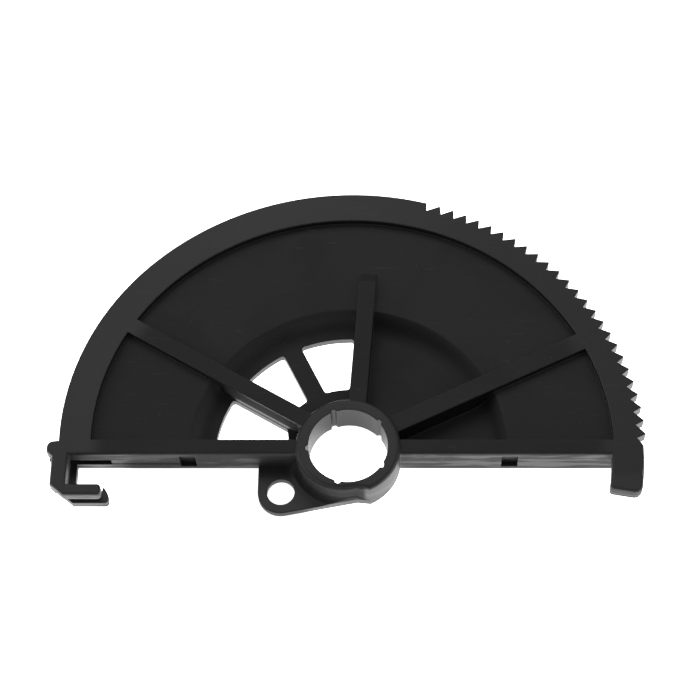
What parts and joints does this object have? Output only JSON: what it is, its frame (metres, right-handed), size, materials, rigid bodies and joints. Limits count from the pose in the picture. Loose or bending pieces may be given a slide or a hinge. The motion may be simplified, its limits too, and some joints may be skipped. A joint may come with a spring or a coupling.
{
  "type": "sector gear",
  "caption": "Half-disc sector gear with ratchet teeth on part of its grooved rim, a ribbed dished web, a notched pivot bore, a thin lug with a hole and a cable hook.",
  "frame": {"origin": "axis of the pivot bore on the back face", "axes": "+Z along the bore towards the ribbed front, +X along the straight bar towards the toothed end, +Y towards the top of the rim"},
  "size_m": [0.14, 0.0836, 0.0087],
  "materials": {
    "black_plastic": "satin moulded nylon"
  },
  "bodies": {
    "root": {"sector_gear": "black_plastic"}
  },
  "joints": []
}
